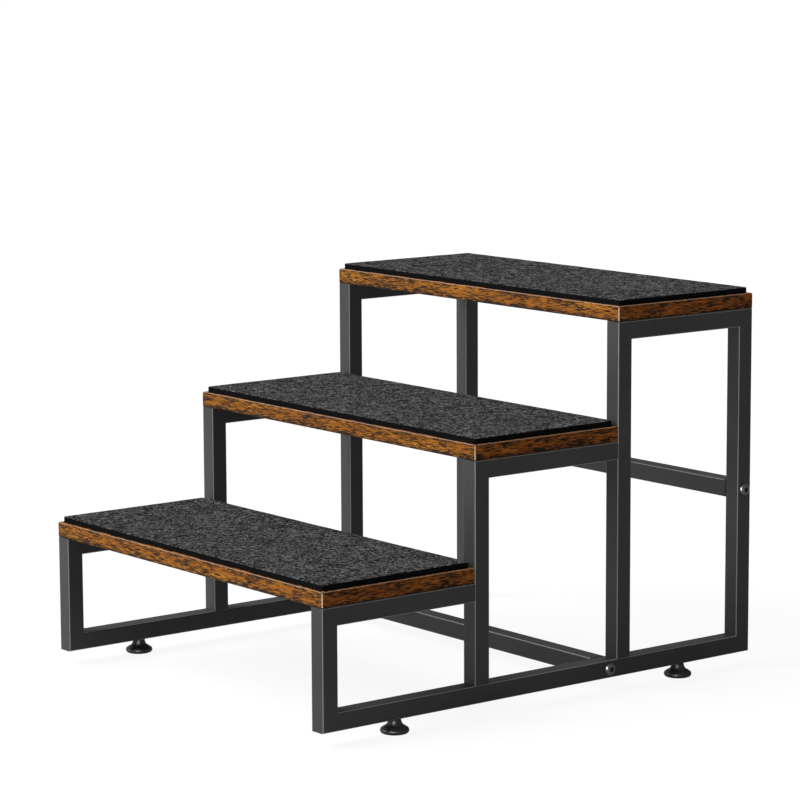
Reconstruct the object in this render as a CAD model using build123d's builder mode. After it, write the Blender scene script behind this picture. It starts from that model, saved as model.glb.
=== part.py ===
from build123d import *
import os

# Pet stairs: two welded frames of square tube, three boards with felt pads,
# two bolted cross bars and four screw-in levelling feet.
# Millimetres. +Z is up, +Y runs from the lowest step to the highest, +X is the
# right side. The origin lies on the floor at the middle of the stairs' footprint.

# Driving sizes of the stairs
stairs_width = 500.0
tread_depth = 200.0
step_rise = 130.0
board_thickness = 17.0
foot_height = 16.0

# Square tube
tube_size = 20.0
tube_wall = 1.2
tube_corner_radius = 2.0

# Boards and felt pads
board_chamfer = 1.0
board_end_gap = 0.4
pad_thickness = 6.5
pad_inset = 4.0
pad_corner_radius = 4.0
pad_edge_chamfer = 1.0

# Button head bolts of the cross bars, M6
thread_radius = 3.0
thread_clearance = 0.05
bolt_hole_clearance = 0.3
bolt_head_radius = 7.2
bolt_head_rim = 0.8
bolt_head_height = 3.6
bolt_head_flat_radius = 3.9
hex_key_size = 5.0
hex_key_depth = 2.4

# Cross bars
rear_cross_bar_rise = 176.0
plug_flange = 2.4
plug_spigot_length = 22.0
plug_clearance = 0.1
cross_bolt_engagement = 17.0

# Levelling feet
foot_end_distance = 100.0
rivet_flange_radius = 6.0
rivet_flange_thickness = 0.8
rivet_barrel_radius = 4.4
rivet_barrel_length = 12.5
rivet_hole_clearance = 0.05
foot_stop_gap = 0.2
glide_rim_radius = 15.3
glide_rim_height = 5.0
glide_shoulder_radius = 12.6
glide_shoulder_height = 7.4
glide_neck_radius = 6.8
glide_neck_height = 13.0
stem_head_radius = 5.0
stem_head_height = 2.0
stem_head_recess = 1.0
stem_running_clearance = 0.05
stem_top_above_rail = 15.5

# Cuts run past the surface by this much
overrun = 1.0

# Worked out from the sizes above
stairs_depth = 3 * tread_depth
front_y = -stairs_depth / 2
back_y = stairs_depth / 2
rail_bottom_z = foot_height
rail_middle_z = rail_bottom_z + tube_size / 2
frame_x = stairs_width / 2 - tube_size / 2
inner_span = stairs_width - 2 * tube_size
tube_bore = tube_size - 2 * tube_wall
bolt_hole_radius = thread_radius + bolt_hole_clearance
threaded_bore_radius = thread_radius + thread_clearance

step_names = ("lower", "middle", "upper")
last_step = len(step_names) - 1
post_names = ("front_post", "second_post", "third_post")
sides = (("left", -frame_x), ("right", frame_x))


def step_front(step):
    """Y of the front edge of a step, counted from nought."""
    return front_y + step * tread_depth


def board_bottom(step):
    """Z of the underside of a step's board, which is the top of its rail."""
    return rail_bottom_z + (step + 1) * step_rise


def save(piece, name):
    """Label a finished piece and write its file."""
    piece.part.label = name
    export_step(piece.part, f"parts/{name}.step")


def tube_section():
    """Hollow square section with rounded outer corners, in the open sketch."""
    RectangleRounded(tube_size, tube_size, tube_corner_radius)
    Rectangle(tube_bore, tube_bore, mode=Mode.SUBTRACT)


def tube_member(name, start, length, mitres, holes=()):
    """Write one tube of a frame.

    start is the plane of its square end, whose normal runs along the tube.
    mitres are planes that point to the side that stays.
    holes are (plane, radius, depth), drilled from the plane against its normal.
    """
    with BuildPart() as member:
        with BuildSketch(start):
            tube_section()
        extrude(amount=length)
        for cut in mitres:
            split(bisect_by=cut, keep=Keep.TOP)
        for plane, radius, depth in holes:
            with Locations(plane):
                Hole(radius=radius, depth=depth)
    save(member, name)


def mitre(x, y, z, normal_y, normal_z):
    """Plane through a corner of the frame, square to the frame's own plane."""
    return Plane(origin=(x, y, z), x_dir=(1, 0, 0), z_dir=(0, normal_y, normal_z))


def post_start(x, y, z):
    """Section plane of a post whose front face is at y and whose foot is at z."""
    return Plane(origin=(x, y + tube_size / 2, z), x_dir=(1, 0, 0), z_dir=(0, 0, 1))


def rail_start(x, y, top_z):
    """Section plane of a rail that starts at y and whose top face is at top_z."""
    return Plane(origin=(x, y, top_z - tube_size / 2), x_dir=(1, 0, 0), z_dir=(0, 1, 0))


# Where things are fastened
lower_bar_y = step_front(last_step) - tube_size / 2
lower_bar_z = rail_middle_z
rear_bar_y = back_y - tube_size / 2
rear_bar_z = rail_bottom_z + rear_cross_bar_rise + tube_size / 2
foot_ys = (front_y + foot_end_distance, back_y - foot_end_distance)


def side_hole(x, y, z):
    """Plane on the right face of a tube at x, for a hole right through along X."""
    return Plane(origin=(x + tube_size / 2 + overrun, y, z), x_dir=(0, 1, 0), z_dir=(1, 0, 0))


# Side frames
def side_frame(side, x):
    """Write the eight tubes of one side frame."""
    bottom_top_z = rail_bottom_z + tube_size
    through = tube_size + 2 * overrun
    rivet_hole = rivet_barrel_radius + rivet_hole_clearance
    foot_holes = [
        (Plane(origin=(x, y, rail_bottom_z + tube_wall + overrun), x_dir=(1, 0, 0), z_dir=(0, 0, 1)),
         rivet_hole, tube_wall + 2 * overrun)
        for y in foot_ys
    ]
    bar_hole = (side_hole(x, lower_bar_y, lower_bar_z), bolt_hole_radius, through)
    tube_member(
        f"{side}_bottom_rail", rail_start(x, front_y, bottom_top_z), stairs_depth,
        [mitre(x, front_y, rail_bottom_z, 1, -1), mitre(x, back_y, rail_bottom_z, -1, -1)],
        foot_holes + [bar_hole])

    # The front post stands on the corner, the next two on top of the bottom rail
    for step, post in enumerate(post_names):
        y = step_front(step)
        top_z = board_bottom(step)
        foot_z = rail_bottom_z if step == 0 else bottom_top_z
        cuts = [mitre(x, y, top_z, -1, -1)]
        if step == 0:
            cuts.append(mitre(x, y, rail_bottom_z, -1, 1))
        tube_member(f"{side}_{post}", post_start(x, y, foot_z), top_z - foot_z, cuts)

    top_z = board_bottom(last_step)
    tube_member(
        f"{side}_rear_post", post_start(x, back_y - tube_size, rail_bottom_z), top_z - rail_bottom_z,
        [mitre(x, back_y, rail_bottom_z, 1, 1), mitre(x, back_y, top_z, 1, -1)],
        [(side_hole(x, rear_bar_y, rear_bar_z), bolt_hole_radius, through)])

    # Each step rail starts at the corner over its post and ends at the next post
    for step, name in enumerate(step_names):
        y = step_front(step)
        top_z = board_bottom(step)
        cuts = [mitre(x, y, top_z, 1, 1)]
        if step == last_step:
            cuts.append(mitre(x, back_y, top_z, -1, 1))
        tube_member(f"{side}_{name}_step_rail", rail_start(x, y, top_z), tread_depth, cuts)


# Treads
def tread_board(name, step):
    """Write a board that lies on its two step rails."""
    depth = tread_depth if step == last_step else tread_depth - board_end_gap
    with BuildPart() as board:
        with BuildSketch(Plane.XY.offset(board_bottom(step))):
            with Locations((0, step_front(step) + depth / 2)):
                Rectangle(stairs_width, depth)
        extrude(amount=board_thickness)
        chamfer(board.edges(), length=board_chamfer)
    save(board, name)


def felt_pad(name, step):
    """Write a felt pad that lies on its board, inset all round."""
    with BuildPart() as pad:
        with BuildSketch(Plane.XY.offset(board_bottom(step) + board_thickness)):
            with Locations((0, step_front(step) + tread_depth / 2)):
                RectangleRounded(
                    stairs_width - 2 * pad_inset, tread_depth - 2 * pad_inset, pad_corner_radius)
        extrude(amount=pad_thickness)
        chamfer(pad.faces().sort_by(Axis.Z)[-1].edges(), length=pad_edge_chamfer)
    save(pad, name)


def button_head_bolt(shank_length):
    """A bolt whose head sits on the XY plane and whose shank runs down from it."""
    with BuildPart() as bolt:
        with BuildSketch(Plane.XZ):
            with BuildLine():
                Polyline(
                    (0, bolt_head_height), (0, -shank_length), (thread_radius, -shank_length),
                    (thread_radius, 0), (bolt_head_radius, 0), (bolt_head_radius, bolt_head_rim),
                    (bolt_head_flat_radius, bolt_head_height), close=True)
            make_face()
        revolve(axis=Axis.Z)
        with BuildSketch(Plane.XY.offset(bolt_head_height)):
            RegularPolygon(radius=hex_key_size / 2, side_count=6, major_radius=False)
        extrude(amount=-hex_key_depth, mode=Mode.SUBTRACT)
    return bolt


def placed_group(piece, planes, name):
    """Write copies of one piece, one on each plane, as a group of solids."""
    with BuildPart() as group:
        for plane in planes:
            with Locations(plane):
                add(piece.part)
    save(group, name)


# Cross bars
def cross_bar_plug():
    """A threaded end plug: its flange stands on the XY plane, its spigot above."""
    spigot_size = tube_bore - 2 * plug_clearance
    with BuildPart() as plug:
        with BuildSketch(Plane.XY):
            RectangleRounded(tube_size, tube_size, tube_corner_radius)
        extrude(amount=plug_flange)
        with BuildSketch(Plane.XY.offset(plug_flange)):
            Rectangle(spigot_size, spigot_size)
        extrude(amount=plug_spigot_length)
        with Locations(Plane.XY.offset(plug_flange + plug_spigot_length + overrun)):
            Hole(radius=threaded_bore_radius, depth=plug_flange + plug_spigot_length + 2 * overrun)
    return plug


def cross_bar(name, y, z, plug, bolt):
    """Write one cross bar with its end plugs and bolts."""
    bar_length = inner_span - 2 * plug_flange
    with BuildPart() as bar:
        with BuildSketch(Plane(origin=(-bar_length / 2, y, z), x_dir=(0, 1, 0), z_dir=(1, 0, 0))):
            tube_section()
        extrude(amount=bar_length)
    save(bar, f"{name}_cross_bar")

    plug_planes = [
        Plane(origin=(-way * inner_span / 2, y, z), x_dir=(0, 1, 0), z_dir=(way, 0, 0)) for way in (1, -1)]
    bolt_planes = [
        Plane(origin=(way * stairs_width / 2, y, z), x_dir=(0, 1, 0), z_dir=(way, 0, 0)) for way in (1, -1)]
    placed_group(plug, plug_planes, f"{name}_cross_bar_plugs")
    placed_group(bolt, bolt_planes, f"{name}_cross_bar_bolts")


# Levelling feet
def rivet_nut():
    """A rivet nut: its flange lies under the XY plane, its barrel above it."""
    with BuildPart() as nut:
        with BuildSketch(Plane.XZ):
            with BuildLine():
                Polyline(
                    (threaded_bore_radius, -rivet_flange_thickness),
                    (rivet_flange_radius, -rivet_flange_thickness),
                    (rivet_flange_radius, 0), (rivet_barrel_radius, 0),
                    (rivet_barrel_radius, rivet_barrel_length),
                    (threaded_bore_radius, rivet_barrel_length), close=True)
            make_face()
        revolve(axis=Axis.Z)
    return nut


def foot_stem(name, x, y):
    """Write a stem: a threaded rod with a flat head held inside the glide."""
    top_z = rail_bottom_z + stem_top_above_rail
    head_top = stem_head_recess + stem_head_height
    with BuildPart() as stem:
        with BuildSketch(Plane(origin=(x, y, 0), x_dir=(1, 0, 0), z_dir=(0, -1, 0))):
            with BuildLine():
                Polyline(
                    (0, stem_head_recess), (stem_head_radius, stem_head_recess),
                    (stem_head_radius, head_top), (thread_radius, head_top),
                    (thread_radius, top_z), (0, top_z), close=True)
            make_face()
        revolve(axis=Axis((x, y, 0), (0, 0, 1)))
    save(stem, name)


def foot_glide(name, x, y):
    """Write a glide: a bell with a flared rim, hollow round its stem."""
    neck_top = foot_height - rivet_flange_thickness - foot_stop_gap
    head_top = stem_head_recess + stem_head_height
    pocket_radius = stem_head_radius + stem_running_clearance
    bore_radius = thread_radius + stem_running_clearance
    with BuildPart() as glide:
        with BuildSketch(Plane(origin=(x, y, 0), x_dir=(1, 0, 0), z_dir=(0, -1, 0))):
            with BuildLine():
                Polyline(
                    (bore_radius, neck_top), (bore_radius, head_top), (pocket_radius, head_top),
                    (pocket_radius, 0), (glide_rim_radius, 0), (glide_rim_radius, glide_rim_height),
                    (glide_shoulder_radius, glide_shoulder_height),
                    (glide_neck_radius, glide_neck_height), (glide_neck_radius, neck_top), close=True)
            make_face()
        revolve(axis=Axis((x, y, 0), (0, 0, 1)))
    save(glide, name)


os.makedirs("parts", exist_ok=True)

for side_name, side_x in sides:
    side_frame(side_name, side_x)

for step_number, step_name in enumerate(step_names):
    tread_board(f"{step_name}_tread_board", step_number)
    felt_pad(f"{step_name}_felt_pad", step_number)

plug_piece = cross_bar_plug()
cross_bolt = button_head_bolt(tube_size + plug_flange + cross_bolt_engagement)
cross_bar("lower", lower_bar_y, lower_bar_z, plug_piece, cross_bolt)
cross_bar("rear", rear_bar_y, rear_bar_z, plug_piece, cross_bolt)

nut_piece = rivet_nut()
foot_spots = [
    (f"{end}_{side}", x, y) for side, x in sides for end, y in zip(("front", "rear"), foot_ys)]
placed_group(
    nut_piece, [Plane(origin=(x, y, rail_bottom_z)) for _, x, y in foot_spots], "foot_rivet_nuts")
for foot_name, foot_x, foot_y in foot_spots:
    foot_stem(f"{foot_name}_stem", foot_x, foot_y)
    foot_glide(f"{foot_name}_glide", foot_x, foot_y)
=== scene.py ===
import logging
import math
from dataclasses import dataclass, field
from enum import Enum
from typing import Sequence

import bpy
from mathutils import Matrix, Vector, noise


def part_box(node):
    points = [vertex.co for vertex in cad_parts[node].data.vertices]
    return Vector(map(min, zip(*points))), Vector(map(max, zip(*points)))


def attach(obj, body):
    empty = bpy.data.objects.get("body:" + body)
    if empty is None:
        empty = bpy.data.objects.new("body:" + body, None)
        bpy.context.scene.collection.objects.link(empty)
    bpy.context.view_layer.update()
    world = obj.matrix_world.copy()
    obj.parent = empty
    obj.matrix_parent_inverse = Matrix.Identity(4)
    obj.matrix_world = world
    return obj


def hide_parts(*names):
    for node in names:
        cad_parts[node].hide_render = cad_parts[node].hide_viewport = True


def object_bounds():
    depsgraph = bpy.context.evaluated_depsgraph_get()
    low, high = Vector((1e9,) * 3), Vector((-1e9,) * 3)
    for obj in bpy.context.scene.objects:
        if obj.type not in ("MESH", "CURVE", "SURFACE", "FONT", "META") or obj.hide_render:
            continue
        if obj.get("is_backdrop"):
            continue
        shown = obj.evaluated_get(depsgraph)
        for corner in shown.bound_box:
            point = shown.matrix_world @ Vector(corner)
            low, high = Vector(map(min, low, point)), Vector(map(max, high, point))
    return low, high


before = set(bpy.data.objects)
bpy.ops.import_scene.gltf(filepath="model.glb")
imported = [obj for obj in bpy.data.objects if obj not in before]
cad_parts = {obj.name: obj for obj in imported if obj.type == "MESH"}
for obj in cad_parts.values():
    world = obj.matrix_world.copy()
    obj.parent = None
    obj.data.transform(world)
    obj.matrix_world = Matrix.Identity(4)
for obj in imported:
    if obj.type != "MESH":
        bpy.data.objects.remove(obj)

# Looks of the pet stairs: finishes for the tubes, boards, plugs and rivet nuts,
# and finer meshes for the felt pads, bolts and levelling feet.
# Metres. +Z is up, +Y runs from the lowest step to the highest, +X is the right side.

CAD_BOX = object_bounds()
ROOT_BODY = "frame"
MM = 0.001
NOISE_ORIGIN = (0.61, 0.83, 0.47)

Point = tuple[float, float, float]
Colour = tuple[float, float, float]
Socket = bpy.types.NodeSocket
Flat = tuple[float, float]

log = logging.getLogger("pet_stairs")


def shade(colour: Colour, factor: float) -> Colour:
    """A colour made darker or lighter by a factor."""
    return tuple(part * factor for part in colour)


class Choice(Enum):
    """A choice whose word is part of the pieces' names."""

    @property
    def word(self) -> str:
        """The word."""
        return self.name.lower()


class Side(Choice):
    """The two side frames, seen by one who walks up the stairs."""

    LEFT = -1
    RIGHT = 1


class End(Choice):
    """The two ends of a side frame that a levelling foot stands near."""

    FRONT = -1
    REAR = 1


class Step(Choice):
    """The three steps, counted from nought at the bottom."""

    LOWER = 0
    MIDDLE = 1
    UPPER = 2


class Bar(Choice):
    """The two bars that join the side frames."""

    LOWER = 0
    REAR = 1


class Graph:
    """A material's node tree, with short calls for the nodes that the finishes share."""

    def __init__(self, name: str) -> None:
        """Start a material with a Principled shader.

        Args:
            name: Name of the new material.
        """
        self.material = bpy.data.materials.new(name)
        self.material.use_nodes = True
        self.tree = self.material.node_tree
        self.tree.nodes.clear()
        self.output = self.add("ShaderNodeOutputMaterial")
        self.shader = self.add("ShaderNodeBsdfPrincipled")
        self.feed(self.output.inputs["Surface"], self.shader.outputs["BSDF"])

    def add(self, kind: str, **settings: object) -> bpy.types.Node:
        """Add a node.

        Args:
            kind: Type name of the node.
            **settings: Properties of the node and their values.

        Returns:
            The new node.
        """
        node = self.tree.nodes.new(kind)
        for key, value in settings.items():
            setattr(node, key, value)
        return node

    def feed(self, target: Socket, value: object) -> None:
        """Link a socket to an input, or set the input's own value.

        Args:
            target: The input.
            value: A socket, a number or a tuple of numbers.
        """
        if isinstance(value, bpy.types.NodeSocket):
            self.tree.links.new(value, target)
        elif isinstance(value, tuple) and len(value) == 3 and len(target.default_value) == 4:
            target.default_value = (*value, 1.0)
        else:
            target.default_value = value

    def set(self, **values: object) -> None:
        """Feed inputs of the Principled shader.

        Args:
            **values: Name of each input, with underscores for spaces, and its socket or value.
        """
        for key, value in values.items():
            self.feed(self.shader.inputs[key.replace("_", " ")], value)

    def here(self) -> Socket:
        """Frame coordinates in metres."""
        return self.add("ShaderNodeTexCoord").outputs["Object"]

    def place(self, scale: Point = (1.0, 1.0, 1.0)) -> Socket:
        """Place for a noise to read: metres from a point clear of the stairs, stretched.

        All noises are flat together where their coordinates are nought. On the stairs that shows as a band.

        Args:
            scale: Factor for each axis.

        Returns:
            The vector socket.
        """
        mapping = self.add("ShaderNodeMapping")
        self.feed(mapping.inputs["Vector"], self.here())
        mapping.inputs["Location"].default_value = tuple(o * s for o, s in zip(NOISE_ORIGIN, scale))
        mapping.inputs["Scale"].default_value = scale
        return mapping.outputs["Vector"]

    def facing(self, kind: str = "True Normal") -> list[Socket]:
        """The three parts of a face's normal.

        Args:
            kind: "True Normal" for the face's own, "Normal" for the smoothed one.

        Returns:
            The sockets of the X, Y and Z parts.
        """
        split = self.add("ShaderNodeSeparateXYZ")
        self.feed(split.inputs[0], self.add("ShaderNodeNewGeometry").outputs[kind])
        return [split.outputs[axis] for axis in range(3)]

    def squareness(self, kind: str = "True Normal") -> Socket:
        """One on faces square to an axis, less on rounded and bevelled corners.

        Args:
            kind: Which normal to read, as for facing.

        Returns:
            The value socket.
        """
        nx, ny, nz = (self.math("ABSOLUTE", part) for part in self.facing(kind))
        return self.math("MAXIMUM", self.math("MAXIMUM", nx, ny), nz)

    def noise(self, vector: Socket, scale: float, detail: float = 2.0, roughness: float = 0.5,
              distortion: float = 0.0) -> Socket:
        """Fractal noise between nought and one.

        Args:
            vector: Place to read the noise at.
            scale: Features per unit of the vector.
            detail: Number of finer octaves.
            roughness: Share of each octave.
            distortion: Swirl of the pattern.

        Returns:
            The value socket.
        """
        node = self.add("ShaderNodeTexNoise")
        self.feed(node.inputs["Vector"], vector)
        for key, value in (("Scale", scale), ("Detail", detail), ("Roughness", roughness),
                           ("Distortion", distortion)):
            node.inputs[key].default_value = value
        return node.outputs["Fac"]

    def ramp(self, value: Socket, stops: Sequence[tuple[float, Colour]]) -> Socket:
        """Colours along a value.

        Args:
            value: The value to read along.
            stops: Places between nought and one with their colours.

        Returns:
            The colour socket.
        """
        node = self.add("ShaderNodeValToRGB")
        self.feed(node.inputs["Fac"], value)
        points = node.color_ramp.elements
        while len(points) < len(stops):
            points.new(0.5)
        for point, (place, colour) in zip(points, stops):
            point.position = place
            point.color = (*colour, 1.0)
        return node.outputs["Color"]

    def span(self, value: Socket, low: float, high: float, start: float = 0.0, end: float = 1.0) -> Socket:
        """Map a value from one range to another and hold it there.

        Args:
            value: The value to map.
            low: Value that becomes start.
            high: Value that becomes end.
            start: Result at low.
            end: Result at high.

        Returns:
            The value socket.
        """
        node = self.add("ShaderNodeMapRange", clamp=True)
        for key, item in (("Value", value), ("From Min", low), ("From Max", high), ("To Min", start),
                          ("To Max", end)):
            self.feed(node.inputs[key], item)
        return node.outputs["Result"]

    def math(self, operation: str, first: object, second: object = 0.0) -> Socket:
        """One sum.

        Args:
            operation: Blender's name of the operation.
            first: Socket or number.
            second: Socket or number.

        Returns:
            The value socket.
        """
        node = self.add("ShaderNodeMath", operation=operation)
        self.feed(node.inputs[0], first)
        self.feed(node.inputs[1], second)
        return node.outputs["Value"]

    def mix(self, factor: object, first: object, second: object, blend: str = "MIX") -> Socket:
        """Mix two colours.

        Args:
            factor: Share of the second colour.
            first: Socket or colour.
            second: Socket or colour.
            blend: Blender's name of the way to mix.

        Returns:
            The colour socket.
        """
        node = self.add("ShaderNodeMix", data_type="RGBA", blend_type=blend)
        self.feed(node.inputs[0], factor)
        self.feed(node.inputs[6], first)
        self.feed(node.inputs[7], second)
        return node.outputs[2]

    def cloudy(self, cloud: Socket, colour: Colour, dark: float, pale: float) -> Socket:
        """Colour a cloud in two shades of one colour.

        Args:
            cloud: Noise to read along.
            colour: The colour.
            dark: Factor for the darker shade.
            pale: Factor for the paler one.

        Returns:
            The colour socket.
        """
        return self.ramp(cloud, ((0.3, shade(colour, dark)), (0.7, shade(colour, pale))))

    def bump(self, height: Socket, distance: float, strength: float = 1.0) -> None:
        """Turn a height into a normal and give it to the shader.

        Args:
            height: Height between nought and one.
            distance: Height of one, in metres.
            strength: Share of the effect.
        """
        node = self.add("ShaderNodeBump")
        self.feed(node.inputs["Height"], height)
        node.inputs["Distance"].default_value = distance
        node.inputs["Strength"].default_value = strength
        self.set(Normal=node.outputs["Normal"])


@dataclass(frozen=True)
class Finish:
    """A finish that is made into a material once and shared."""

    name: str

    def material(self) -> bpy.types.Material:
        """Build the finish's material at its first use, and find it again later.

        Returns:
            The material.
        """
        found = bpy.data.materials.get(self.name)
        if found is None:
            graph = Graph(self.name)
            self.build(graph)
            found = graph.material
        return found

    def build(self, graph: Graph) -> None:
        """Build the nodes, which each kind of finish does its own way."""
        raise NotImplementedError

    def dress(self, piece: bpy.types.Object) -> bpy.types.Object:
        """Give the whole piece this finish.

        Args:
            piece: A mesh object.

        Returns:
            The same object.
        """
        piece.data.materials.clear()
        piece.data.materials.append(self.material())
        return piece


@dataclass(frozen=True)
class PowderCoat(Finish):
    """Satin black powder coat with a fine orange peel, and a painted highlight that makes its rounded corners
    paler.
    """

    colour: Colour = (0.034, 0.0342, 0.035)
    arris_highlight: Colour = (0.34, 0.341, 0.347)
    dust: Colour = (0.09, 0.09, 0.092)
    roughness: float = 0.4
    specular: float = 0.4
    cloud_scale: float = 9.0
    dust_scale: float = 2600.0
    peel_scale: float = 1500.0
    peel_height: float = 0.01 * MM

    def build(self, graph: Graph) -> None:
        """Build the coat's nodes.

        Args:
            graph: The material's nodes.
        """
        place = graph.place()
        cloud = graph.noise(place, self.cloud_scale, 3.0)
        dust = graph.noise(place, self.dust_scale, 2.0, 0.7)
        base = graph.cloudy(cloud, self.colour, 0.8, 1.25)
        base = graph.mix(graph.span(dust, 0.66, 0.8, 0.0, 0.35), base, self.dust)
        # Painted highlight: the rounded corners get the pale arris colour.
        base = graph.mix(graph.span(graph.squareness("Normal"), 0.78, 0.93, 1.0, 0.0), base, self.arris_highlight)
        graph.set(Base_Color=base, Specular_IOR_Level=self.specular,
                  Roughness=graph.span(cloud, 0.3, 0.7, self.roughness - 0.05, self.roughness + 0.06))
        graph.bump(graph.noise(place, self.peel_scale, 2.0, 0.6), self.peel_height)


@dataclass(frozen=True)
class RusticLaminate(Finish):
    """Printed rustic brown wood on a board, with painted highlights on its bevelled edges and painted shade on
    its ends.

    Each grain is how often a noise varies along the wood and across it, per metre.
    """

    dark: Colour = (0.1, 0.026, 0.003)
    middle: Colour = (0.43, 0.145, 0.007)
    light: Colour = (0.64, 0.28, 0.03)
    char: Colour = (0.006, 0.003, 0.0015)
    end_shade: Colour = (0.85, 0.68, 0.7)
    cream: Colour = (1.0, 0.74, 0.48)
    top_arris_highlight: Colour = (0.36, 0.22, 0.15)
    broad_grain: Flat = (9.0, 60.0)
    fibre_grain: Flat = (130.0, 900.0)
    stroke_grain: Flat = (85.0, 1500.0)
    blot_grain: Flat = (40.0, 260.0)
    depth_share: float = 0.4
    cream_scale: float = 60.0
    specular: float = 0.12
    relief: float = 0.12 * MM
    lowest_z: float = 146.0 * MM
    rise: float = 130.0 * MM
    thickness: float = 17.0 * MM

    def grain(self, graph: Graph, stretch: Flat, on_end: Socket) -> Socket:
        """Place squeezed along the grain, which turns the corner with the board's face.

        Args:
            graph: The material's nodes.
            stretch: One of the grains.
            on_end: One on the board's ends, nought elsewhere.

        Returns:
            The vector socket.
        """
        along, across = stretch
        deep = across * self.depth_share
        pick = graph.add("ShaderNodeMix", data_type="VECTOR")
        graph.feed(pick.inputs[0], on_end)
        graph.feed(pick.inputs[4], graph.place((along, deep, across)))
        graph.feed(pick.inputs[5], graph.place((deep, along, across)))
        return pick.outputs[1]

    def height(self, graph: Graph) -> Socket:
        """Height in the board's thickness.

        Args:
            graph: The material's nodes.

        Returns:
            Nought at a board's underside and one at its top, for every step.
        """
        split = graph.add("ShaderNodeSeparateXYZ")
        graph.feed(split.inputs[0], graph.here())
        steps = graph.math("DIVIDE", graph.math("SUBTRACT", split.outputs[2], self.lowest_z), self.rise)
        return graph.math("MULTIPLY", graph.math("FRACT", steps), self.rise / self.thickness)

    def wood(self, graph: Graph, fibre: Socket, on_end: Socket) -> Socket:
        """The print's brown, without its dark strokes, and darker and redder on the board's ends as painted
        shade.

        Args:
            graph: The material's nodes.
            fibre: Noise of the fine fibres.
            on_end: One on the board's ends, nought elsewhere.

        Returns:
            The colour socket.
        """
        broad = graph.noise(self.grain(graph, self.broad_grain, on_end), 1.0, 3.0, 0.6, 0.4)
        tone = graph.math("ADD", graph.math("MULTIPLY", broad, 0.45), graph.math("MULTIPLY", fibre, 0.55))
        brown = graph.ramp(tone, ((0.36, self.dark), (0.45, self.middle), (0.53, self.middle),
                                  (0.62, self.light)))
        # Painted shade: on the ends the brown is multiplied by the darker end colour.
        return graph.mix(on_end, brown, graph.mix(1.0, brown, self.end_shade, "MULTIPLY"))

    def strokes(self, graph: Graph, height: Socket, on_end: Socket) -> Socket:
        """Short burnt strokes, closer together in blots and near the board's top and underside.

        Args:
            graph: The material's nodes.
            height: Height in the board's thickness.
            on_end: One on the board's ends, nought elsewhere.

        Returns:
            Share of burnt colour.
        """
        stroke = graph.noise(self.grain(graph, self.stroke_grain, on_end), 1.0, 2.0, 0.5, 0.2)
        blot = graph.noise(self.grain(graph, self.blot_grain, on_end), 1.0, 3.0, 0.65, 0.4)
        underside, top = graph.span(height, 0.3, 0.02, 0.0, 0.12), graph.span(height, 0.8, 0.98, 0.0, 0.05)
        edge = graph.math("ADD", underside, top)
        patch = graph.math("ADD", edge, graph.span(blot, 0.36, 0.64, -0.07, 0.09))
        return graph.span(graph.math("ADD", stroke, patch), 0.485, 0.545, 0.0, 0.96)

    def edges(self, graph: Graph, wood: Socket, height: Socket, nz: Socket) -> Socket:
        """The wood with painted highlights on its bevelled corners: cream on upright ones, paler brown along
        the top of upward ones, none on downward ones.

        Args:
            graph: The material's nodes.
            wood: Colour of the faces.
            height: Height in the board's thickness.
            nz: Upward part of the face's normal.

        Returns:
            The colour socket.
        """
        # Painted highlight: bevels that do not face down are painted cream when upright, and paler brown near
        # the top when they face up.
        bevel = graph.math("LESS_THAN", graph.squareness(), 0.9)
        arris_highlight = graph.math("MULTIPLY", bevel, graph.math("GREATER_THAN", nz, -0.3))
        pale = graph.ramp(graph.noise(graph.place(), self.cream_scale, 3.0),
                          ((0.35, shade(self.cream, 0.75)), (0.6, self.cream)))
        rim = graph.mix(graph.math("GREATER_THAN", height, 0.966), wood, self.top_arris_highlight)
        return graph.mix(arris_highlight, wood, graph.mix(graph.math("GREATER_THAN", nz, 0.3), pale, rim))

    def build(self, graph: Graph) -> None:
        """Build the print's nodes.

        Args:
            graph: The material's nodes.
        """
        nx, _, nz = graph.facing()
        on_end = graph.math("GREATER_THAN", graph.math("ABSOLUTE", nx), 0.75)
        height = self.height(graph)
        fibre = graph.noise(self.grain(graph, self.fibre_grain, on_end), 1.0, 4.0, 0.7, 0.4)
        burnt = self.strokes(graph, height, on_end)
        wood = graph.mix(burnt, self.wood(graph, fibre, on_end), self.char)
        graph.set(Base_Color=self.edges(graph, wood, height, nz), Specular_IOR_Level=self.specular,
                  Roughness=graph.span(fibre, 0.3, 0.7, 0.42, 0.62))
        graph.bump(graph.math("SUBTRACT", fibre, graph.math("MULTIPLY", burnt, 0.4)), self.relief, 0.6)


@dataclass(frozen=True)
class Strand:
    """One size of felted fibre, a line that wanders where a noise crosses its middle."""

    stretch: Point
    scale: float
    swirl: float
    width: float
    weight: float

    def line(self, graph: Graph) -> Socket:
        """Draw the fibres.

        Args:
            graph: The material's nodes.

        Returns:
            The weight on a fibre, nought between fibres.
        """
        wander = graph.noise(graph.place(self.stretch), self.scale, 2.0, 0.55, self.swirl)
        off = graph.math("ABSOLUTE", graph.math("SUBTRACT", wander, 0.5))
        return graph.math("MULTIPLY", graph.span(off, 0.0, self.width, 1.0, 0.0), self.weight)


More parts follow.
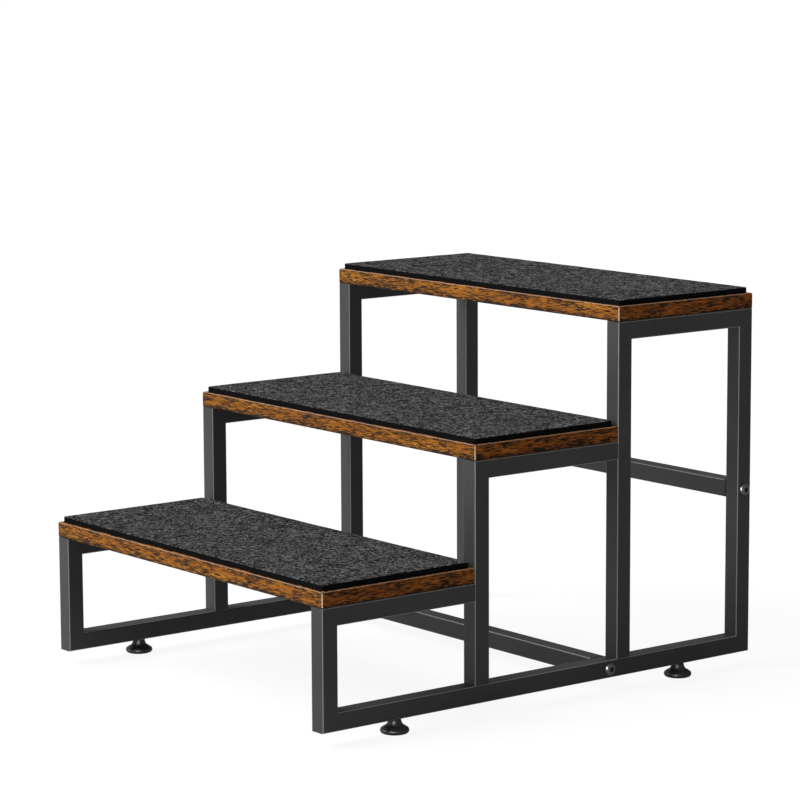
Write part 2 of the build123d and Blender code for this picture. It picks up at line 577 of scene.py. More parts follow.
@dataclass(frozen=True)
class HeatheredFelt(Finish):
    """Thick needled felt: charcoal fibres with paler ones swirled through them, and plain dark sides that are
    painted shade.
    """

    dark: Colour = (0.008, 0.008, 0.0084)
    middle: Colour = (0.03, 0.0301, 0.031)
    pale: Colour = (0.24, 0.241, 0.247)
    wall: Colour = (0.008, 0.008, 0.0085)
    shadow: Colour = (0.6, 0.6, 0.61)
    sheen_tint: Colour = (0.85, 0.87, 0.9)
    strands: tuple[Strand, ...] = (Strand((1.0, 0.8, 1.0), 80.0, 1.6, 0.045, 1.0),
                                   Strand((0.8, 1.1, 1.0), 170.0, 2.2, 0.07, 0.85),
                                   Strand((1.1, 0.9, 1.0), 360.0, 2.0, 0.11, 0.6))
    fibre_scale: float = 2100.0
    clump_scale: float = 105.0
    tuft_scale: float = 290.0
    tuft_stretch: Point = (1.0, 0.6, 1.0)
    nap: float = 0.5 * MM

    def heather(self, graph: Graph) -> Socket:
        """Mix of pale and dark fibres.

        Args:
            graph: The material's nodes.

        Returns:
            Nought where all fibres are dark, one where they are pale.
        """
        clump = graph.noise(graph.place(), self.clump_scale, 3.0, 0.65, 2.4)
        tuft = graph.noise(graph.place(self.tuft_stretch), self.tuft_scale, 2.0, 0.6, 3.0)
        speckle = graph.math("ADD", graph.math("MULTIPLY", clump, 0.6), graph.math("MULTIPLY", tuft, 0.4))
        speckle = graph.span(speckle, 0.465, 0.56)
        thread: object = 0.0
        for strand in self.strands:
            thread = graph.math("MAXIMUM", thread, strand.line(graph))
        tone = graph.math("MULTIPLY", speckle, graph.span(thread, 0.0, 1.0, 0.5, 1.0))
        return graph.math("ADD", tone, graph.math("MULTIPLY", thread, 0.22))

    def build(self, graph: Graph) -> None:
        """Build the felt's nodes.

        Args:
            graph: The material's nodes.
        """
        tone = self.heather(graph)
        fibre = graph.noise(graph.place(), self.fibre_scale, 2.0, 0.7, 1.0)
        base = graph.ramp(tone, ((0.0, self.dark), (0.3, self.middle), (0.6, shade(self.middle, 3.0)),
                                 (1.0, self.pale)))
        base = graph.mix(graph.span(fibre, 0.35, 0.65), graph.mix(1.0, base, self.shadow, "MULTIPLY"), base)
        # Painted shade: faces that do not face up get the plain dark wall colour, without the paler fibres.
        upward = graph.math("GREATER_THAN", graph.facing()[2], 0.35)
        graph.set(Base_Color=graph.mix(upward, self.wall, base), Roughness=0.95, Specular_IOR_Level=0.0,
                  Sheen_Weight=0.01, Sheen_Roughness=0.5, Sheen_Tint=self.sheen_tint)
        height = graph.math("ADD", graph.math("MULTIPLY", tone, 0.5), graph.math("MULTIPLY", fibre, 0.5))
        graph.bump(height, self.nap, 0.7)


@dataclass(frozen=True)
class BlackOxide(Finish):
    """Oiled black oxide on a steel bolt, a little bare where it was turned."""

    colour: Colour = (0.22, 0.221, 0.226)
    roughness: float = 0.3
    mottle_scale: float = 900.0
    rub_scale: float = 5200.0
    rub_height: float = 0.012 * MM

    def build(self, graph: Graph) -> None:
        """Build the oxide's nodes.

        Args:
            graph: The material's nodes.
        """
        place = graph.place()
        mottle = graph.noise(place, self.mottle_scale, 4.0, 0.65)
        base = graph.ramp(mottle, ((0.32, shade(self.colour, 0.7)), (0.6, self.colour),
                                   (0.8, shade(self.colour, 1.8))))
        graph.set(Base_Color=base, Metallic=1.0,
                  Roughness=graph.span(mottle, 0.3, 0.7, self.roughness - 0.06, self.roughness + 0.1))
        graph.bump(graph.noise(place, self.rub_scale, 2.0, 0.6), self.rub_height)


@dataclass(frozen=True)
class SocketShade(Finish):
    """Painted shade on the walls of a hexagonal socket: near black, with an oily mottle."""

    colour: Colour = (0.006, 0.006, 0.0065)
    roughness: float = 0.6
    mottle_scale: float = 1400.0
    mottle_height: float = 0.02 * MM

    def build(self, graph: Graph) -> None:
        """Build the grime's nodes.

        Args:
            graph: The material's nodes.
        """
        mottle = graph.noise(graph.place(), self.mottle_scale, 3.0, 0.6)
        base = graph.ramp(mottle, ((0.35, shade(self.colour, 0.6)), (0.7, shade(self.colour, 1.6))))
        graph.set(Base_Color=base,
                  Roughness=graph.span(mottle, 0.3, 0.7, self.roughness - 0.1, self.roughness + 0.2))
        graph.bump(mottle, self.mottle_height)


@dataclass(frozen=True)
class GlossPlastic(Finish):
    """Moulded black plastic with a soft gloss that small scuffs dull in places."""

    colour: Colour = (0.03, 0.03, 0.031)
    roughness: float = 0.38
    cloud_scale: float = 160.0
    cloud_height: float = 0.04 * MM
    scuff_scale: float = 900.0
    scuff_stretch: Point = (1.0, 1.0, 7.0)

    def build(self, graph: Graph) -> None:
        """Build the plastic's nodes.

        Args:
            graph: The material's nodes.
        """
        cloud = graph.noise(graph.place(), self.cloud_scale, 3.0)
        scuff = graph.noise(graph.place(self.scuff_stretch), self.scuff_scale, 4.0, 0.75)
        graph.set(Base_Color=graph.cloudy(cloud, self.colour, 0.75, 1.4),
                  Roughness=graph.span(scuff, 0.45, 0.75, self.roughness, self.roughness + 0.16))
        graph.bump(cloud, self.cloud_height)


@dataclass(frozen=True)
class ZincPlate(Finish):
    """Bright zinc plate with faint spangle."""

    colour: Colour = (0.56, 0.57, 0.6)
    roughness: float = 0.3
    spangle_scale: float = 700.0
    spangle: float = 0.12
    haze_scale: float = 420.0
    haze_height: float = 0.01 * MM

    def build(self, graph: Graph) -> None:
        """Build the plate's nodes.

        Args:
            graph: The material's nodes.
        """
        place = graph.place()
        cells = graph.add("ShaderNodeTexVoronoi")
        graph.feed(cells.inputs["Vector"], place)
        cells.inputs["Scale"].default_value = self.spangle_scale
        haze = graph.noise(place, self.haze_scale, 4.0, 0.6)
        base = graph.cloudy(haze, self.colour, 0.7, 1.0)
        base = graph.mix(self.spangle, base, cells.outputs["Color"], "MULTIPLY")
        graph.set(Base_Color=base, Metallic=1.0,
                  Roughness=graph.span(haze, 0.3, 0.7, self.roughness - 0.06, self.roughness + 0.12))
        graph.bump(haze, self.haze_height)


@dataclass(frozen=True)
class GrainedPlastic(Finish):
    """Matte black plastic with the fine grain of its mould."""

    colour: Colour = (0.014, 0.014, 0.0145)
    roughness: float = 0.55
    grain_scale: float = 1800.0
    grain_height: float = 0.04 * MM
    cloud_scale: float = 70.0

    def build(self, graph: Graph) -> None:
        """Build the plastic's nodes.

        Args:
            graph: The material's nodes.
        """
        place = graph.place()
        grain = graph.noise(place, self.grain_scale, 3.0, 0.7)
        cloud = graph.noise(place, self.cloud_scale, 2.0)
        graph.set(Base_Color=graph.cloudy(cloud, self.colour, 0.8, 1.3),
                  Roughness=graph.span(grain, 0.3, 0.7, self.roughness - 0.08, self.roughness + 0.08))
        graph.bump(grain, self.grain_height)


POWDER_COAT = PowderCoat("satin_black_powder_coat")
LAMINATE = RusticLaminate("rustic_brown_laminate")
FELT = HeatheredFelt("heathered_charcoal_felt")
OXIDE = BlackOxide("black_oxide")
SOCKET_SHADE = SocketShade("socket_painted_shade")
GLOSS = GlossPlastic("gloss_black_plastic")
ZINC = ZincPlate("zinc_plate")
GRAINED = GrainedPlastic("grained_black_plastic")


def mesh_object(name: str, points: Sequence[Point], faces: Sequence[Sequence[int]],
                sharp_angle: float = 40.0) -> bpy.types.Object:
    """Make a smooth shaded mesh object whose points are in the frame.

    Args:
        name: Name of the object.
        points: Places of the vertices.
        faces: Vertex numbers of each face.
        sharp_angle: Edges that turn by more than this many degrees stay sharp.

    Returns:
        The new object, linked to the scene.
    """
    mesh = bpy.data.meshes.new(name)
    mesh.from_pydata([tuple(p) for p in points], [], [tuple(f) for f in faces])
    mesh.validate()
    mesh.shade_smooth()
    mesh.set_sharp_from_angle(angle=math.radians(sharp_angle))
    thing = bpy.data.objects.new(name, mesh)
    bpy.context.scene.collection.objects.link(thing)
    return thing


@dataclass
class Shell:
    """Points and faces that several turned shapes are gathered in before they become one mesh."""

    points: list[Vector] = field(default_factory=list)
    faces: list[tuple[int, ...]] = field(default_factory=list)

    def turn(self, outline: Sequence[tuple[float, float, bool]], place: Matrix, segments: int = 60) -> None:
        """Add a closed turned shape.

        Args:
            outline: Radius, height and whether the ring is a hexagon, from one end of the axis to the other,
                or all the way round where neither end has radius nought.
            place: Where the shape's own origin and axes go.
            segments: Points in each ring, a multiple of six.
        """
        rings: list[list[int]] = []
        for radius, height, hexagonal in outline:
            first = len(self.points)
            if radius == 0.0:
                self.points.append(place @ Vector((0.0, 0.0, height)))
                rings.append([first])
                continue
            for number in range(segments):
                angle = math.tau * number / segments
                reach = radius
                if hexagonal:
                    sixth = math.tau / 6
                    reach = radius * math.cos(sixth / 2) / math.cos(angle % sixth - sixth / 2)
                self.points.append(place @ Vector((reach * math.cos(angle), reach * math.sin(angle), height)))
            rings.append(list(range(first, first + segments)))
        if len(rings[0]) > 1 and len(rings[-1]) > 1:
            rings.append(rings[0])
        for low, high in zip(rings, rings[1:]):
            for number in range(segments):
                after = (number + 1) % segments
                if len(low) == 1:
                    self.faces.append((low[0], high[after], high[number]))
                elif len(high) == 1:
                    self.faces.append((low[number], low[after], high[0]))
                else:
                    self.faces.append((low[number], low[after], high[after], high[number]))

    def piece(self, name: str, sharp_angle: float = 40.0) -> bpy.types.Object:
        """Make the gathered shapes one object, by mesh_object and with its arguments."""
        return mesh_object(name, self.points, self.faces, sharp_angle)


def arc(start: Flat, end: Flat, bow: float, count: int) -> list[Flat]:
    """Points on a shallow arc, without its start.

    Args:
        start: First end.
        end: Last end.
        bow: How far the arc bows to the right of the straight line, as a share of its length.
        count: Number of points.

    Returns:
        The points after start, up to end.
    """
    run, rise = end[0] - start[0], end[1] - start[1]
    found = []
    for number in range(1, count + 1):
        share = number / count
        off = 4.0 * bow * share * (1.0 - share)
        found.append((start[0] + run * share + rise * off, start[1] + rise * share - run * off))
    return found


def rounded(outline: Sequence[Flat], radius: float, steps: int = 3) -> list[Flat]:
    """Round the inner corners of an open outline.

    Args:
        outline: Points of the outline.
        radius: Length taken from each side of a corner.
        steps: Points on each rounded corner, less one.

    Returns:
        The points of the rounded outline.
    """
    found = [outline[0]]
    for before, corner, after in zip(outline, outline[1:], outline[2:]):
        here = Vector(corner)
        back, on = Vector(before) - here, Vector(after) - here
        cut = min(radius, 0.45 * back.length, 0.45 * on.length)
        start, end = here + back.normalized() * cut, here + on.normalized() * cut
        for number in range(steps + 1):
            t = number / steps
            spot = start * (1 - t) ** 2 + here * (2 * t * (1 - t)) + end * t ** 2
            found.append((spot.x, spot.y))
    found.append(outline[-1])
    return found


@dataclass
class ButtonHead:
    """A button head bolt with a hexagonal socket, seen from its head."""

    head_radius: float = 7.2 * MM
    rim: float = 0.8 * MM
    height: float = 3.6 * MM
    flat_radius: float = 3.9 * MM
    dome_bow: float = 0.12
    key_radius: float = 2.887 * MM
    key_depth: float = 2.4 * MM
    key_lead: float = 0.25 * MM
    shank_radius: float = 3.0 * MM
    tip: float = 0.6 * MM
    edge: float = 0.2 * MM
    dome_steps: int = 8

    def outline(self, shank: float) -> list[tuple[float, float, bool]]:
        """Rings of the bolt from the bottom of its socket to the end of its shank.

        Args:
            shank: Length of the shank.

        Returns:
            Radius, height and hexagon flag of each ring.
        """
        top, rim = (self.flat_radius, self.height), (self.head_radius, self.rim)
        dome = [top, *arc(top, rim, -self.dome_bow, self.dome_steps)[:-1]]
        seat = rounded([rim, (self.head_radius, 0.0), (self.shank_radius, 0.0),
                        (self.shank_radius, self.tip - shank)], self.edge)
        key_floor = self.height - self.key_depth
        rings = [(0.0, key_floor - self.key_depth / 5, False), (self.key_radius * 0.7, key_floor, True),
                 (self.key_radius, key_floor, True), (self.key_radius, self.height - self.key_lead, True),
                 (self.key_radius + self.key_lead, self.height, False)]
        rings += [(r, h, False) for r, h in dome + seat]
        return rings + [(0.0, -shank, False)]

    def put(self, shell: Shell, spot: Point, axis: Point, shank: float, turn: float) -> None:
        """Add one bolt to a shell.

        Args:
            shell: Where its faces go.
            spot: Middle of the seat under the head.
            axis: Way that the head points.
            shank: Length of the shank.
            turn: Angle of the socket, in degrees.
        """
        lean = Vector((0.0, 0.0, 1.0)).rotation_difference(Vector(axis)).to_matrix().to_4x4()
        place = Matrix.Translation(spot) @ lean @ Matrix.Rotation(math.radians(turn), 4, "Z")
        shell.turn(self.outline(shank), place)


@dataclass
class SideFrame:
    """Eight welded tubes of one side, all powder coated together."""

    side: Side
    tubes: tuple[str, ...] = (
        "bottom_rail", "front_post", "second_post", "third_post", "rear_post",
        "lower_step_rail", "middle_step_rail", "upper_step_rail")

    def dress(self) -> None:
        """Coat every tube of the side."""
        for tube in self.tubes:
            POWDER_COAT.dress(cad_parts[f"{self.side.word}_{tube}"])
        log.info("%s side frame: %d tubes coated", self.side.word, len(self.tubes))


@dataclass
class Tread:
    """A board on its two step rails, the felt pad on it and the four low screws under it."""

    step: Step
    rail_size: float = 20.0 * MM
    depth: float = 200.0 * MM
    screw_from_end: float = 40.0 * MM
    corner_radius: float = 4.0 * MM
    edge_radius: float = 1.0 * MM
    spacing: float = 4.0 * MM
    border_grid: tuple[float, ...] = (
        0.0, 0.18 * MM, 0.5 * MM, 0.9 * MM, 1.4 * MM, 2.2 * MM, 3.1 * MM)
    wall_shares: tuple[float, ...] = (0.7, 0.4, 0.15, 0.0)
    rise_and_fall: float = 0.22 * MM
    wave_scale: Point = (34.0, 34.0, 90.0)
    tuft_scale: Point = (260.0, 260.0, 70.0)
    wall_scale: Point = (190.0, 190.0, 400.0)
    wall_rough: float = 0.05 * MM
    wall_inset: float = 0.03 * MM
    screw: ButtonHead = field(default_factory=lambda: ButtonHead(
        head_radius=5.4 * MM, rim=0.12 * MM, height=0.35 * MM, flat_radius=4.6 * MM, dome_bow=0.02,
        key_radius=2.0 * MM, key_depth=0.25 * MM, key_lead=0.1 * MM, tip=0.15 * MM, edge=0.05 * MM))

    def board(self) -> None:
        """Print the board's faces."""
        LAMINATE.dress(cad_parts[f"{self.step.word}_tread_board"])

    def stations(self, low: float, high: float) -> list[float]:
        """Places of the grid lines between two borders, close together near them.

        Args:
            low: Place of the first border.
            high: Place of the last border.

        Returns:
            The places, in order.
        """
        near = (*self.border_grid, self.corner_radius)
        inner_low, inner_high = low + self.corner_radius, high - self.corner_radius
        count = round((inner_high - inner_low) / self.spacing)
        middle = [inner_low + (inner_high - inner_low) * n / count for n in range(1, count)]
        return [low + n for n in near] + middle + [high - n for n in reversed(near)]

    def pad_point(self, x: float, y: float, low: Vector, high: Vector) -> tuple[Vector, float]:
        """Move a grid point into the pad's rounded outline.

        Args:
            x: Place along X.
            y: Place along Y.
            low: Lowest corner of the pad.
            high: Highest corner of the pad.

        Returns:
            The point in plan, and how far in from the outline it lies.
        """
        r = self.corner_radius
        centre_x = min(max(x, low.x + r), high.x - r)
        centre_y = min(max(y, low.y + r), high.y - r)
        a, b = (x - centre_x) / r, (y - centre_y) / r
        over_x, over_y = a * math.sqrt(1 - b * b / 2), b * math.sqrt(1 - a * a / 2)
        inside = r * (1.0 - math.hypot(over_x, over_y))
        return Vector((centre_x + over_x * r, centre_y + over_y * r, 0.0)), inside

    def top_height(self, spot: Vector, inside: float, low: Vector, high: Vector) -> float:
        """Height of the pad's soft upper face.

        Args:
            spot: A point in plan.
            inside: How far in from the outline it lies.
            low: Lowest corner of the pad.
            high: Highest corner of the pad.

        Returns:
            The height.
        """
        drop = 0.0
        if inside < self.edge_radius:
            drop = self.edge_radius * (1 - math.sqrt(max(0.0, 1 - (1 - inside / self.edge_radius) ** 2)))
        here = Vector((spot.x, spot.y, low.z))
        wave = noise.fractal(here * Vector(self.wave_scale), 1.0, 2.0, 3)
        tuft = noise.noise(here * Vector(self.tuft_scale))
        return high.z - drop + self.rise_and_fall * (0.7 * wave + 0.3 * tuft - 1.0)

    def lay_top(self, shell: Shell, low: Vector, high: Vector) -> list[int]:
        """Lay the pad's upper face as a grid.

        Args:
            shell: Where its faces go.
            low: Lowest corner of the pad.
            high: Highest corner of the pad.

        Returns:
            Numbers of the points round its border.
        """
        xs, ys = self.stations(low.x, high.x), self.stations(low.y, high.y)
        wide, deep = len(xs), len(ys)
        for y in ys:
            for x in xs:
                spot, inside = self.pad_point(x, y, low, high)
                shell.points.append(Vector((spot.x, spot.y, self.top_height(spot, inside, low, high))))
        shell.faces += [(j * wide + i, j * wide + i + 1, (j + 1) * wide + i + 1, (j + 1) * wide + i)
                        for j in range(deep - 1) for i in range(wide - 1)]
        return (list(range(wide)) + [j * wide + wide - 1 for j in range(1, deep)]
                + [(deep - 1) * wide + i for i in range(wide - 2, -1, -1)]
                + [j * wide for j in range(deep - 2, 0, -1)])

    def lay_wall(self, shell: Shell, border: list[int], low: Vector, high: Vector) -> None:
        """Lay the pad's rough wall and its underside.

        Args:
            shell: Where their faces go.
            border: Numbers of the points round the upper face.
            low: Lowest corner of the pad.
            high: Highest corner of the pad.
        """
        above = border
        for share in self.wall_shares:
            ring = []
            for number in border:
                top = shell.points[number]
                spot = Vector((top.x, top.y, low.z + (top.z - low.z) * share))
                out = Vector((top.x - (low.x + high.x) / 2, top.y - (low.y + high.y) / 2, 0.0)).normalized()
                rough = self.wall_rough * noise.noise(spot * Vector(self.wall_scale)) if share else 0.0
                ring.append(len(shell.points))
                shell.points.append(spot + out * (rough - self.wall_inset))
            for n in range(len(border)):
                m = (n + 1) % len(border)
                shell.faces.append((above[m], above[n], ring[n], ring[m]))
            above = ring
        shell.faces.append(tuple(reversed(above)))

    def pad(self) -> bpy.types.Object:
        """Build the felt pad in place of the CAD one.

        Returns:
            The pad.
        """
        node = f"{self.step.word}_felt_pad"
        low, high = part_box(node)
        shell = Shell()
        border = self.lay_top(shell, low, high)
        self.lay_wall(shell, border, low, high)
        pad = shell.piece(f"{node}_soft", 60.0)
        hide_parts(node)
        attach(pad, ROOT_BODY)
        return FELT.dress(pad)

    def screws(self) -> bpy.types.Object:
        """Build the four screws that hold the board from below.

        Returns:
            The screws, as one object.
        """
        shell = Shell()
        low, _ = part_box(f"{self.step.word}_tread_board")
        for side in Side:
            rail_low, rail_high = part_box(f"{side.word}_{self.step.word}_step_rail")
            x = (rail_low.x + rail_high.x) / 2
            far = low.y + self.depth - self.screw_from_end
            for number, y in enumerate((low.y + self.screw_from_end, far)):
                turn = 17.0 * number + 41.0 * self.step.value + 8.0 * side.value
                self.screw.put(shell, (x, y, low.z - self.rail_size), (0.0, 0.0, -1.0), self.rail_size, turn)
        piece = shell.piece(f"{self.step.word}_tread_screws")
        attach(piece, ROOT_BODY)
        return OXIDE.dress(piece)

    def make(self) -> None:
        """Build and dress the whole tread."""
        self.board()
        self.pad()
        self.screws()
        log.info("%s tread: board, pad and four screws", self.step.word)


@dataclass
class CrossBar:
    """A bar between the side frames with its end plugs and bolts."""

    bar: Bar
    half_width: float = 0.25
    shank: float = 39.4 * MM
    socket_turn: float = 12.0
    head: ButtonHead = field(default_factory=ButtonHead)

    def make(self) -> None:
        """Dress the bar and its plugs, and build its bolts."""
        word = self.bar.word
        POWDER_COAT.dress(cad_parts[f"{word}_cross_bar"])
        GRAINED.dress(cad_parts[f"{word}_cross_bar_plugs"])
        node = f"{word}_cross_bar_bolts"
        low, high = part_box(node)
        y, z = (low.y + high.y) / 2, (low.z + high.z) / 2
        shell = Shell()
        for side in Side:
            self.head.put(shell, (side.value * self.half_width, y, z), (float(side.value), 0.0, 0.0),
                          self.shank, self.socket_turn)
        piece = shell.piece(f"{word}_cross_bar_button_bolts")
        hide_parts(node)
        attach(piece, ROOT_BODY)
        OXIDE.dress(piece)
        # The faces inside each socket get the socket's painted shade.
        piece.data.materials.append(SOCKET_SHADE.material())
        for face in piece.data.polygons:
            off_axis = math.hypot(face.center.y - y, face.center.z - z)
            if off_axis < self.head.key_radius and abs(face.center.x) > self.half_width:
                face.material_index = 1
        log.info("%s cross bar: bar, plugs and bolts", word)


@dataclass
class LevellingFoot:
    """A glide that turns on a captive threaded stem.

    A pair is a radius and a height. A pair of thread_shares is a share of the pitch and of the thread's depth.
    """

    end: End
    side: Side
    floor_radius: float = 13.0 * MM
    rim_radius: float = 15.3 * MM
    rim_bottom: float = 2.7 * MM
    rim_top: float = 3.5 * MM
    groove: Flat = (12.9 * MM, 6.1 * MM)
    shoulder: Flat = (12.3 * MM, 6.9 * MM)
    waist: Flat = (7.1 * MM, 12.6 * MM)
    waist_bow: float = -0.14
    rim_bow: float = 0.17
    neck: Flat = (6.5 * MM, 15.0 * MM)
    bore: float = 3.05 * MM
    pocket: float = 5.05 * MM
    pocket_top: float = 3.0 * MM
    edge: float = 0.35 * MM
    head_radius: float = 5.0 * MM
    head_bottom: float = 1.0 * MM
    stem_top: float = 31.5 * MM
    crest: float = 2.98 * MM
    root: float = 2.42 * MM
    pitch: float = 1.0 * MM
    thread_shares: tuple[Flat, ...] = ((0.0, 0.0), (0.12, 0.0), (0.44, 1.0), (0.56, 1.0))
    tip_inset: float = 0.02 * MM
    turn_steps: int = 36

    @property
    def word(self) -> str:
        """Name of the foot in the pieces' names."""
        return f"{self.end.word}_{self.side.word}"

    def centre(self) -> Matrix:
        """Find the foot's axis from its glide.

        Returns:
            The place where the axis meets the floor.
        """
        low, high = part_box(f"{self.word}_glide")
        return Matrix.Translation(((low.x + high.x) / 2, (low.y + high.y) / 2, 0.0))

    def glide(self) -> bpy.types.Object:
        """Build the bell in place of the CAD one.

        Returns:
            The bell.
        """
        skin = [(self.pocket, 0.0), (self.floor_radius, 0.0)]
        skin += arc(skin[-1], (self.rim_radius, self.rim_bottom), self.rim_bow, 5)
        skin += [(self.rim_radius, self.rim_top)]
        skin += arc(skin[-1], self.groove, self.rim_bow, 6)
        skin += [self.shoulder]
        skin += arc(self.shoulder, self.waist, self.waist_bow, 10)
        skin += [self.neck, (self.bore, self.neck[1]), (self.bore, self.pocket_top),
                 (self.pocket, self.pocket_top)]
        shell = Shell()
        shell.turn([(r, h, False) for r, h in rounded(skin, self.edge)], self.centre(), 72)
        piece = shell.piece(f"{self.word}_glide_bell", 50.0)
        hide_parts(f"{self.word}_glide")
        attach(piece, f"{self.word}_glide")
        return GLOSS.dress(piece)

    def cut_thread(self, shell: Shell, place: Matrix) -> None:
        """Wind the thread's surface from the top of the pocket to the stem's tip.

        Args:
            shell: Where its faces go.
            place: Where the foot's axis stands.
        """
        bottom, top = self.pocket_top, self.stem_top
        per_turn = len(self.thread_shares)
        rows = int((top - bottom) / self.pitch) * per_turn + 1
        for row in range(rows + per_turn):
            turn, part = divmod(row, per_turn)
            share, lift = self.thread_shares[part]
            for step in range(self.turn_steps):
                z = bottom + (turn - 1 + share + step / self.turn_steps) * self.pitch
                z = min(max(z, bottom), top)
                fade = min(1.0, (z - bottom) / self.pitch, (top - z) / self.pitch)
                radius = self.root + (self.crest - self.root) * lift * max(0.0, fade)
                angle = math.tau * step / self.turn_steps
                shell.points.append(place @ Vector((radius * math.cos(angle), radius * math.sin(angle), z)))
        for row in range(rows + per_turn - 1):
            for step in range(self.turn_steps):
                here = row * self.turn_steps + step
                if step < self.turn_steps - 1:
                    shell.faces.append((here, here + 1, here + 1 + self.turn_steps, here + self.turn_steps))
                elif row + 1 < rows:
                    start = (row + per_turn) * self.turn_steps
                    shell.faces.append((here, start, start + self.turn_steps, here + self.turn_steps))

    def stem(self) -> bpy.types.Object:
        """Build the threaded stem in place of the CAD one.

        Returns:
            The stem.
        """
        shell = Shell()
        self.cut_thread(shell, self.centre())
        head = rounded([(0.0, self.head_bottom), (self.head_radius, self.head_bottom),
                        (self.head_radius, self.pocket_top), (self.root, self.pocket_top)], self.edge)
        core = head + [(self.root - self.tip_inset, self.stem_top), (0.0, self.stem_top)]
        shell.turn([(r, h, False) for r, h in core], self.centre())
        piece = shell.piece(f"{self.word}_threaded_stem")
        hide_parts(f"{self.word}_stem")
        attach(piece, f"{self.word}_stem")
        return ZINC.dress(piece)

    def make(self) -> None:
        """Build the foot."""
        self.glide()
        self.stem()
        log.info("%s levelling foot: bell and stem", self.word)


@dataclass(frozen=True)
class Card:
    """A lit card that shines on glossy faces only."""

    name: str
    spot: Point
    width: float
    height: float
    power: float


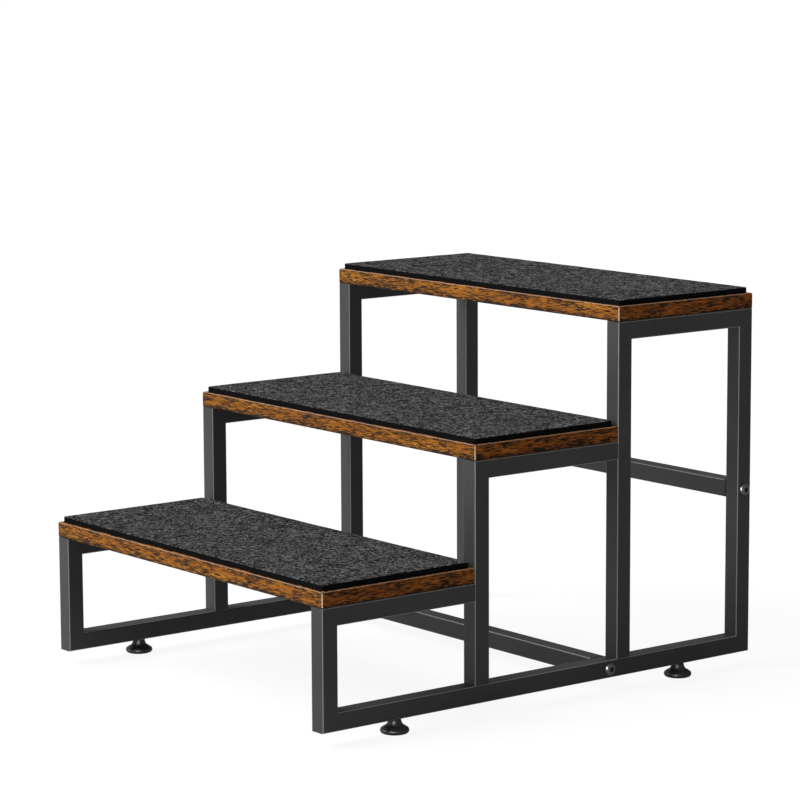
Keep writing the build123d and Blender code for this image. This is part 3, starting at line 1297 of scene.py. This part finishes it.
@dataclass
class Studio:
    """Floor, light and camera."""

    camera_spot: Point = (2.784952, -2.181039, 0.831279)
    azimuth: float = 51.977
    elevation: float = 8.503
    roll: float = -0.255
    lens: float = 143.546
    sensor: float = 36.0
    floor_reach: float = 400.0
    sun_way: Point = (-0.36, -0.58, 0.73)
    sun_strength: float = 3.6
    sun_angle: float = 38.0
    sun_distance: float = 5.0
    cards: tuple[Card, ...] = (Card("arris_highlight_card", (1.9, -2.5, 0.9), 1.3, 1.6, 110.0),
                               Card("glint_card", (-1.6, -2.4, 1.3), 0.8, 1.4, 40.0))
    card_aim: Point = (0.1, 0.0, 0.2)
    sky: float = 0.25
    floor_albedo: float = 0.35
    floor_shade: float = 0.1
    floor_white: float = 1.02
    mirror_way: Flat = (-0.8, -0.6)
    mirror_reach: Flat = (-0.6, 0.9)
    mirror_light: float = 0.6

    def camera(self) -> None:
        """Put the camera where the photograph was taken from."""
        data = bpy.data.cameras.new("camera")
        data.lens = self.lens
        data.sensor_width = self.sensor
        data.clip_end = 2 * self.floor_reach
        eye = bpy.data.objects.new("camera", data)
        bpy.context.scene.collection.objects.link(eye)
        az, el, tilt = (math.radians(a) for a in (self.azimuth, self.elevation, self.roll))
        right = Vector((math.cos(az), math.sin(az), 0.0))
        back = Vector((math.sin(az) * math.cos(el), -math.cos(az) * math.cos(el), math.sin(el)))
        up = right.cross(-back)
        right, up = right * math.cos(tilt) + up * math.sin(tilt), up * math.cos(tilt) - right * math.sin(tilt)
        turn = Matrix((right, up, back)).transposed()
        eye.matrix_world = Matrix.Translation(self.camera_spot) @ turn.to_4x4()
        bpy.context.scene.camera = eye

    def floor(self) -> None:
        """Lay a floor that is white in the picture but keeps the object's shadow, and that glows for glossy
        rays only as a painted reflection, brighter towards the front left.
        """
        r = self.floor_reach
        plane = mesh_object("floor", [(-r, -r, 0.0), (r, -r, 0.0), (r, r, 0.0), (-r, r, 0.0)], [(0, 1, 2, 3)])
        graph = Graph("studio_floor")
        path = graph.add("ShaderNodeLightPath").outputs
        direct = graph.math("MAXIMUM", path["Is Camera Ray"], path["Is Transmission Ray"])
        graph.set(Base_Color=graph.mix(direct, (self.floor_albedo,) * 3, (self.floor_shade,) * 3),
                  Roughness=1.0, Specular_IOR_Level=0.0)
        split = graph.add("ShaderNodeSeparateXYZ")
        graph.feed(split.inputs[0], graph.here())
        across = graph.math("ADD", graph.math("MULTIPLY", split.outputs[0], self.mirror_way[0]),
                            graph.math("MULTIPLY", split.outputs[1], self.mirror_way[1]))
        # Painted reflection: glossy rays see the floor glow, brighter along mirror_way.
        mirrored = graph.math("MULTIPLY", path["Is Glossy Ray"],
                              graph.span(across, *self.mirror_reach, 0.0, self.mirror_light))
        seen = graph.math("MULTIPLY", direct, self.floor_white - self.floor_shade)
        graph.set(Emission_Color=(1.0, 1.0, 1.0), Emission_Strength=graph.math("ADD", seen, mirrored))
        plane.data.materials.append(graph.material)
        plane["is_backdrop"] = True

    def world(self) -> None:
        """Make the sky white in the picture and grey as a light."""
        world = bpy.data.worlds.new("studio_sky")
        world.use_nodes = True
        nodes, links = world.node_tree.nodes, world.node_tree.links
        light = nodes["Background"]
        seen = nodes.new("ShaderNodeLightPath").outputs["Is Camera Ray"]
        level = nodes.new("ShaderNodeMapRange")
        links.new(seen, level.inputs["Value"])
        level.inputs["To Min"].default_value = self.sky
        level.inputs["To Max"].default_value = 1.0
        light.inputs["Color"].default_value = (1.0, 1.0, 1.0, 1.0)
        links.new(level.outputs["Result"], light.inputs["Strength"])
        bpy.context.scene.world = world

    def lamp(self, name: str, kind: str, spot: Point, aim: Point) -> bpy.types.Light:
        """Hang a lamp.

        Args:
            name: Name of the lamp.
            kind: Blender's name of the kind of lamp.
            spot: Where it hangs.
            aim: Point that it shines at.

        Returns:
            The lamp's data.
        """
        data = bpy.data.lights.new(name, kind)
        lamp = bpy.data.objects.new(name, data)
        bpy.context.scene.collection.objects.link(lamp)
        lamp.location = spot
        lamp.rotation_euler = (Vector(aim) - Vector(spot)).to_track_quat("-Z", "Y").to_euler()
        return data

    def lights(self) -> None:
        """Hang the broad soft key light and the cards."""
        way = Vector(self.sun_way)
        sun = self.lamp("key_light", "SUN", tuple(way * self.sun_distance), (0.0, 0.0, 0.0))
        sun.energy = self.sun_strength
        sun.angle = math.radians(self.sun_angle)
        for card in self.cards:
            light = self.lamp(card.name, "AREA", card.spot, self.card_aim)
            light.shape = "RECTANGLE"
            light.size, light.size_y = card.width, card.height
            light.energy = card.power
            bpy.data.objects[card.name].visible_diffuse = False

    def make(self) -> None:
        """Set the studio up."""
        self.camera()
        self.floor()
        self.world()
        self.lights()
        bpy.context.scene.view_settings.view_transform = "Standard"
        log.info("studio: camera, floor, sky and lights")


def size_lines(cad: object, shown: object) -> None:
    """Turn the CAD box and the dressed box into plain lists, which are not kept.

    Args:
        cad: Bounds straight after loading.
        shown: Bounds of the finished pieces.
    """
    def plain(value: object) -> object:
        """Turn vectors into lists, however deep they lie.

        Args:
            value: A number, a word, a vector, a list or a dictionary.

        Returns:
            The same with plain lists.
        """
        if isinstance(value, dict):
            return {key: plain(item) for key, item in value.items()}
        if isinstance(value, (int, float, str)) or value is None:
            return value
        return [plain(item) for item in value]

    {"cad": plain(cad), "visual": plain(shown)}


def main() -> None:
    """Build every part of the picture in order."""
    logging.basicConfig(level=logging.INFO, format="%(message)s")
    for side in Side:
        SideFrame(side).dress()
    for step in Step:
        Tread(step).make()
    for bar in Bar:
        CrossBar(bar).make()
    ZINC.dress(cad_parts["foot_rivet_nuts"])
    for side in Side:
        for end in End:
            LevellingFoot(end, side).make()
    Studio().make()
    size_lines(CAD_BOX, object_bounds())


if __name__ == "__main__":
    main()
